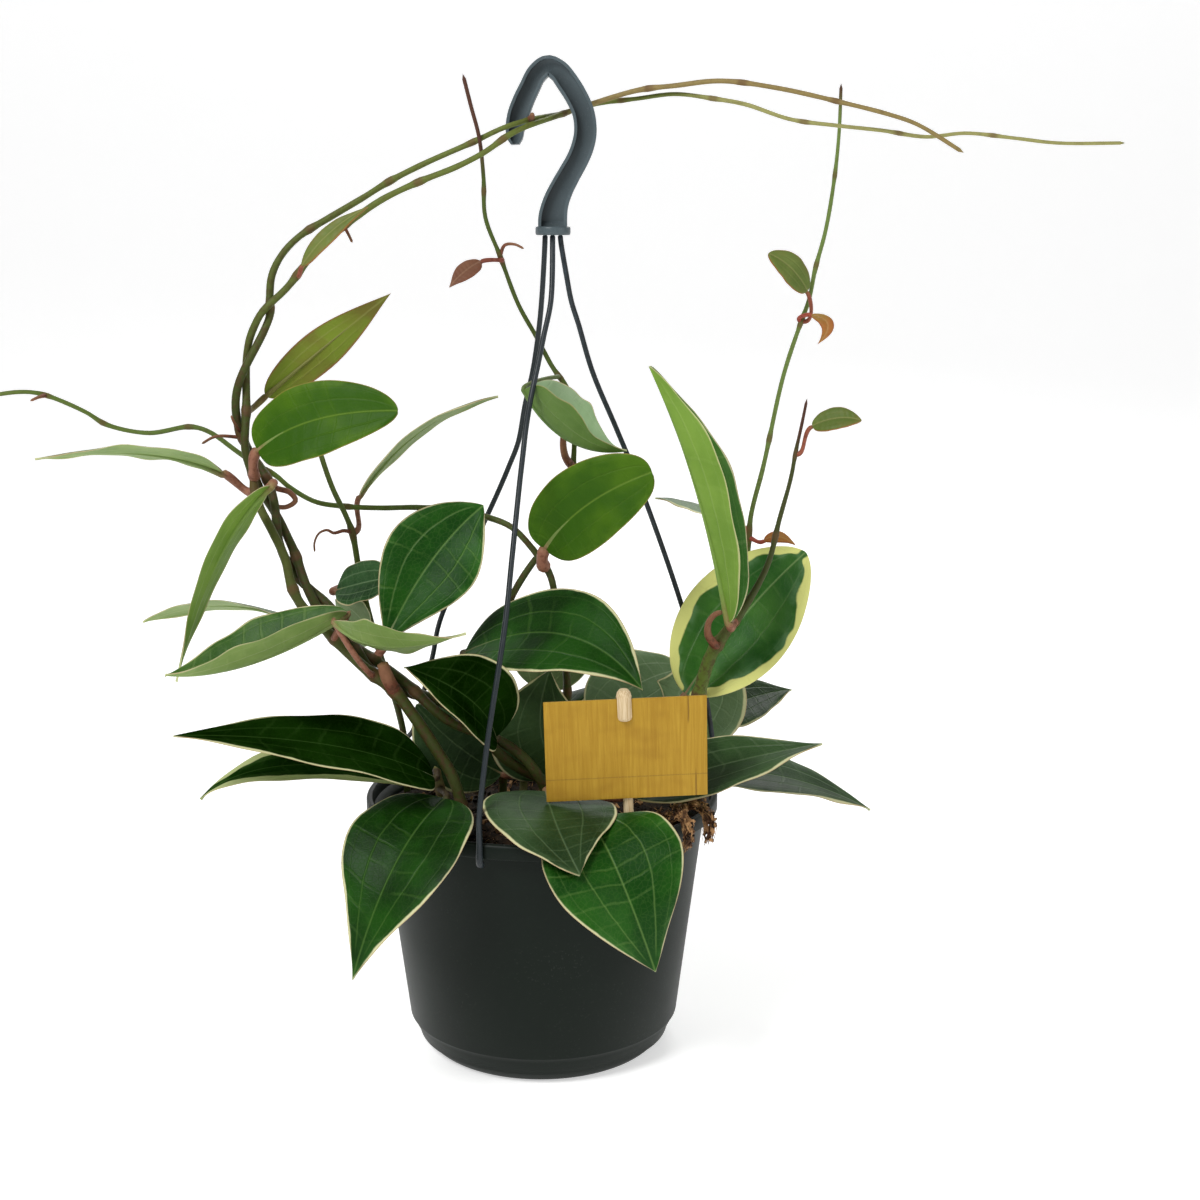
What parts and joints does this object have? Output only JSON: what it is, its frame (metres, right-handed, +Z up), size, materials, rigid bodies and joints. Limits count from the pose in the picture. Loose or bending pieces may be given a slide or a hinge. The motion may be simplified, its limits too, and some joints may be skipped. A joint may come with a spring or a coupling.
{
  "type": "potted climbing hoya with hanging-pot hanger",
  "caption": "Climbing hoya with broad cream-edged leaves and trailing vines, growing in a round nursery pot with a hook hanger and a stick-in name card.",
  "frame": {"origin": "centre of the flat under the pot", "axes": "+Z up, -Y towards the viewer's side of the plant, +X to the right, along the trailing vines"},
  "size_m": [0.4602, 0.2019, 0.4137],
  "materials": {
    "pot_plastic": "satin",
    "soil": "matte",
    "hanger_plastic": "satin",
    "tag_card": "matte",
    "tag_stick": "matte",
    "stem": "satin",
    "leaf_variegated": "satin",
    "leaf_green": "satin"
  },
  "bodies": {
    "root": {"pot": "pot_plastic", "soil": "soil", "hanger_hook": "hanger_plastic", "strand_front": "hanger_plastic", "strand_right": "hanger_plastic", "strand_back": "hanger_plastic", "tag_card": "tag_card", "tag_stick": "tag_stick", "vine_left_main": "stem", "vine_left_second": "stem", "vine_left_short": "stem", "vine_across": "stem", "vine_centre": "stem", "stem_left_inner": "stem", "vine_right_long": "stem", "vine_right_short": "stem", "crown_left": "stem", "crown_front": "stem", "crown_centre": "stem", "crown_right": "stem", "crown_back": "stem", "leaf_front_left": "leaf_variegated", "leaf_front_centre": "leaf_variegated", "leaf_front_right": "leaf_variegated", "leaf_left_upper": "leaf_variegated", "leaf_left_lower": "leaf_variegated", "leaf_right_upper": "leaf_variegated", "leaf_right_lower": "leaf_variegated", "leaf_right_back": "leaf_variegated", "leaf_right_inner": "leaf_variegated", "leaf_centre_low": "leaf_variegated", "leaf_centre_lowest": "leaf_variegated", "leaf_centre_left": "leaf_variegated", "leaf_centre_large": "leaf_variegated", "leaf_left_tall": "leaf_variegated", "leaf_left_round": "leaf_variegated", "leaf_left_pale": "leaf_variegated", "leaf_left_folded": "leaf_green", "leaf_left_thin": "leaf_green", "leaf_left_inner": "leaf_green", "leaf_upper_left_oval": "leaf_green", "leaf_upper_left_red": "leaf_green", "leaf_thin_right_of_vine": "leaf_green", "leaf_long_left": "leaf_green", "leaf_far_left": "leaf_green", "leaf_upper_centre_folded": "leaf_green", "leaf_upper_centre_oval": "leaf_green", "leaf_right_tall": "leaf_green", "leaf_right_variegated": "leaf_variegated", "leaf_right_sliver": "leaf_green", "leaf_back_left": "leaf_variegated", "leaf_back_centre": "leaf_variegated", "leaf_back_right": "leaf_variegated", "leaf_back_upright": "leaf_variegated"}
  },
  "joints": []
}
